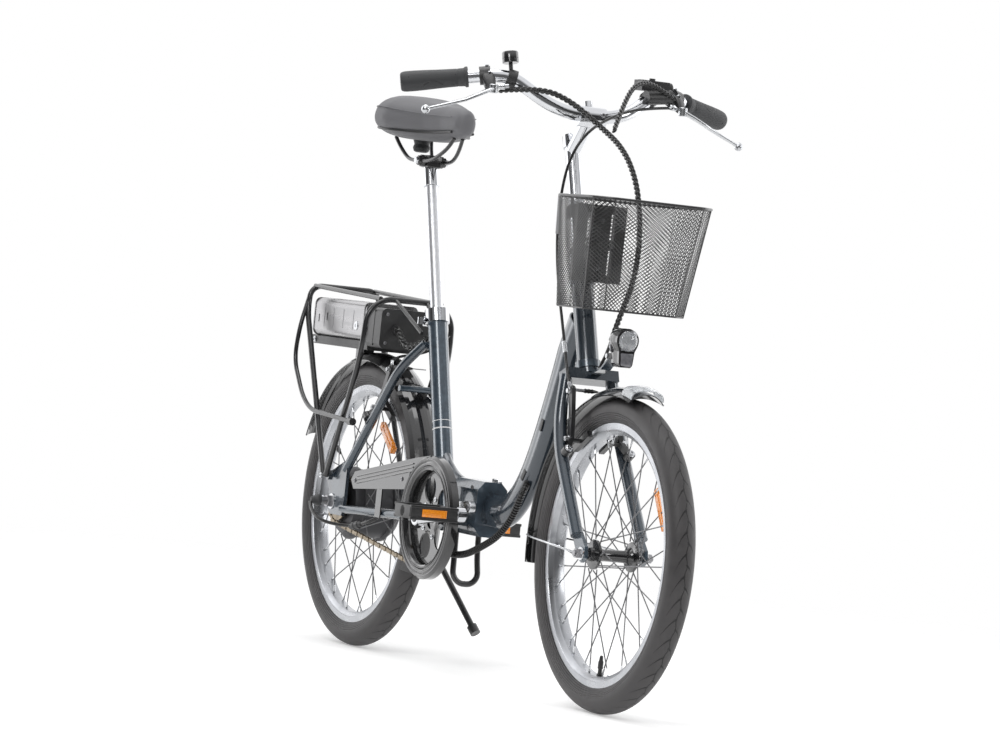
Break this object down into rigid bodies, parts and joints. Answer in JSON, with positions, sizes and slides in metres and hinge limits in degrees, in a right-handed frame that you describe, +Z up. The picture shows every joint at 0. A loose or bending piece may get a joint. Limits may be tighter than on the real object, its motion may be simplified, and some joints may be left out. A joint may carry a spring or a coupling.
{
  "type": "folding bicycle",
  "caption": "Low-step folding electric bicycle with curved main beam, mid-frame hinge, hub motor, rear rack with sliding battery, front basket, mudguards, enclosed chain and swept handlebar.",
  "frame": {"origin": "on the ground below the middle of the wheel base, in the plane of the wheels", "axes": "+X forward, +Y to the rider's left, +Z up"},
  "size_m": [1.4698, 0.6024, 1.0349],
  "materials": {
    "frame_paint": "gloss slate blue-grey lacquer",
    "black_metal": "gloss black powder coat",
    "black_plastic": "semi-gloss black",
    "chrome": "polished chrome",
    "silver": "satin aluminium",
    "steel": "zinc-plated steel",
    "tyre": "dark grey rubber",
    "rubber": "matt dark grey rubber",
    "leatherette": "padded dark grey leatherette",
    "brass": "brass-toned chain",
    "motor": "dark cast alloy"
  },
  "bodies": {
    "rear_frame": {"seat_tube": "frame_paint", "bracket_shell": "frame_paint", "link_tube": "frame_paint", "chain_stays": "frame_paint", "seat_stays": "frame_paint", "rear_hinge": "frame_paint", "support_bar": "frame_paint", "rear_fender": "black_metal", "rack_hoops": "black_metal", "rack_rails": "black_metal", "chain_guard": "black_plastic", "chain": "brass", "rear_cables": "rubber", "conduit_rear": "rubber", "seat_collar": "silver", "controller_box": "black_plastic", "battery_dock": "black_plastic", "rear_axle": "steel"},
    "seat_clamp": {"seat_clamp_lever": "silver"},
    "saddle_unit": {"seat_post": "silver", "saddle": "leatherette"},
    "battery": {"battery_case": "silver"},
    "kickstand": {"kickstand": "black_metal"},
    "front_frame": {"main_beam": "frame_paint", "head_tube": "frame_paint", "front_hinge": "frame_paint", "conduit_front": "rubber"},
    "latch": {"latch_lever": "silver"},
    "steering": {"fork": "frame_paint", "stem": "chrome", "handlebar": "chrome", "grips": "rubber", "bar_fittings": "black_plastic", "basket": "black_metal", "basket_bracket": "black_plastic", "front_fender": "black_metal", "cable_bundle": "rubber", "front_brake_cable": "rubber", "front_axle": "steel"},
    "right_lever": {"right_brake_lever": "chrome"},
    "left_lever": {"left_brake_lever": "chrome"},
    "bell": {"bell_dome": "black_plastic"},
    "button": {"control_button": "black_plastic"},
    "lamp": {"headlight": "black_plastic"},
    "front_arm_right": {"front_brake_arm_right": "black_plastic"},
    "front_arm_left": {"front_brake_arm_left": "black_plastic"},
    "rear_arm_right": {"rear_brake_arm_right": "black_plastic"},
    "rear_arm_left": {"rear_brake_arm_left": "black_plastic"},
    "front_wheel": {"front_tyre": "tyre", "front_rim": "silver", "front_spokes": "steel", "front_hub": "motor"},
    "rear_wheel": {"rear_tyre": "tyre", "rear_rim": "silver", "rear_spokes": "steel", "rear_motor": "motor"},
    "sprocket": {"freewheel": "brass"},
    "crank": {"crankset": "silver"},
    "pedal_right": {"right_pedal": "black_plastic"},
    "pedal_left": {"left_pedal": "black_plastic"}
  },
  "joints": [
    {"name": "frame_fold", "type": "hinge", "parent": "rear_frame", "child": "front_frame", "pos_m": [-0.03, 0.03, 0.283], "axis": [0, 0, -1], "range_deg": [-100, 0]},
    {"name": "latch_swing", "type": "hinge", "parent": "front_frame", "child": "latch", "pos_m": [0.02, -0.036, 0.284], "axis": [0, 1, 0], "range_deg": [0, 80]},
    {"name": "steering_turn", "type": "hinge", "parent": "front_frame", "child": "steering", "pos_m": [0.3, 0, 0.614], "axis": [-0.3746, 0, 0.9272], "range_deg": [-60, 60]},
    {"name": "front_wheel_spin", "type": "hinge", "parent": "steering", "child": "front_wheel", "pos_m": [0.485, 0, 0.25], "axis": [0, 1, 0], "continuous": true},
    {"name": "rear_wheel_spin", "type": "hinge", "parent": "rear_frame", "child": "rear_wheel", "pos_m": [-0.485, 0, 0.25], "axis": [0, 1, 0], "continuous": true},
    {"name": "crank_spin", "type": "hinge", "parent": "rear_frame", "child": "crank", "pos_m": [-0.09, 0, 0.256], "axis": [0, 1, 0], "continuous": true},
    {"name": "sprocket_spin", "type": "hinge", "parent": "rear_frame", "child": "sprocket", "pos_m": [-0.485, -0.053, 0.25], "axis": [0, 1, 0], "continuous": true},
    {"name": "right_pedal_spin", "type": "hinge", "parent": "crank", "child": "pedal_right", "pos_m": [0.07509, -0.12, 0.27335], "axis": [0, 1, 0], "continuous": true},
    {"name": "left_pedal_spin", "type": "hinge", "parent": "crank", "child": "pedal_left", "pos_m": [-0.25509, 0.12, 0.23865], "axis": [0, 1, 0], "continuous": true},
    {"name": "seat_height", "type": "slide", "parent": "rear_frame", "child": "saddle_unit", "axis": [-0.3356, 0, 0.942], "range_m": [-0.03, 0.05]},
    {"name": "seat_clamp_swing", "type": "hinge", "parent": "rear_frame", "child": "seat_clamp", "pos_m": [-0.2981, -0.0172, 0.582], "axis": [0, 0, 1], "range_deg": [-60, 0]},
    {"name": "battery_slide", "type": "slide", "parent": "rear_frame", "child": "battery", "axis": [-1, 0, 0], "range_m": [0, 0.26]},
    {"name": "kickstand_swing", "type": "hinge", "parent": "rear_frame", "child": "kickstand", "pos_m": [-0.453, 0.08, 0.236], "axis": [0, 1, 0], "range_deg": [0, 120]},
    {"name": "right_lever_pull", "type": "hinge", "parent": "steering", "child": "right_lever", "pos_m": [0.232, -0.172, 0.968], "axis": [-0.3981, 0.3603, -0.8436], "range_deg": [0, 20], "stiffness_Nm_per_rad": 1, "springref_deg": -14.32},
    {"name": "left_lever_pull", "type": "hinge", "parent": "steering", "child": "left_lever", "pos_m": [0.232, 0.172, 0.968], "axis": [0.3981, 0.3603, 0.8436], "range_deg": [0, 20], "stiffness_Nm_per_rad": 1, "springref_deg": -14.32},
    {"name": "front_arm_right_close", "type": "hinge", "parent": "steering", "child": "front_arm_right", "pos_m": [0.381, -0.0555, 0.395], "axis": [0.8118, 0, 0.5839], "range_deg": [-2.5, 0.5]},
    {"name": "front_arm_left_close", "type": "hinge", "parent": "steering", "child": "front_arm_left", "pos_m": [0.381, 0.0555, 0.395], "axis": [0.8118, 0, 0.5839], "range_deg": [-0.5, 2.5]},
    {"name": "rear_arm_right_close", "type": "hinge", "parent": "rear_frame", "child": "rear_arm_right", "pos_m": [-0.381, -0.0545, 0.3946], "axis": [-0.806, 0, 0.592], "range_deg": [-0.5, 2.5]},
    {"name": "rear_arm_left_close", "type": "hinge", "parent": "rear_frame", "child": "rear_arm_left", "pos_m": [-0.381, 0.0545, 0.3946], "axis": [-0.806, 0, 0.592], "range_deg": [-2.5, 0.5]},
    {"name": "lamp_tilt", "type": "hinge", "parent": "steering", "child": "lamp", "pos_m": [0.419, 0, 0.562], "axis": [0, 1, 0], "range_deg": [-4, 15]},
    {"name": "bell_turn", "type": "hinge", "parent": "steering", "child": "bell", "pos_m": [0.2059, -0.134, 1.0134], "axis": [-0.2001, -0.083, 0.9763], "range_deg": [0, 40], "stiffness_Nm_per_rad": 0.02, "springref_deg": -5.73},
    {"name": "button_press", "type": "slide", "parent": "steering", "child": "button", "axis": [0, 0, -1], "range_m": [0, 0.0003], "stiffness_N_per_m": 400, "springref_m": -0.0005}
  ],
  "couplings": [
    {"joint": "sprocket_spin", "follows": "crank_spin", "ratio": 2.4444},
    {"joint": "front_arm_right_close", "follows": "left_lever_pull", "ratio": -0.1},
    {"joint": "front_arm_left_close", "follows": "left_lever_pull", "ratio": 0.1},
    {"joint": "rear_arm_right_close", "follows": "right_lever_pull", "ratio": 0.1},
    {"joint": "rear_arm_left_close", "follows": "right_lever_pull", "ratio": -0.1}
  ]
}
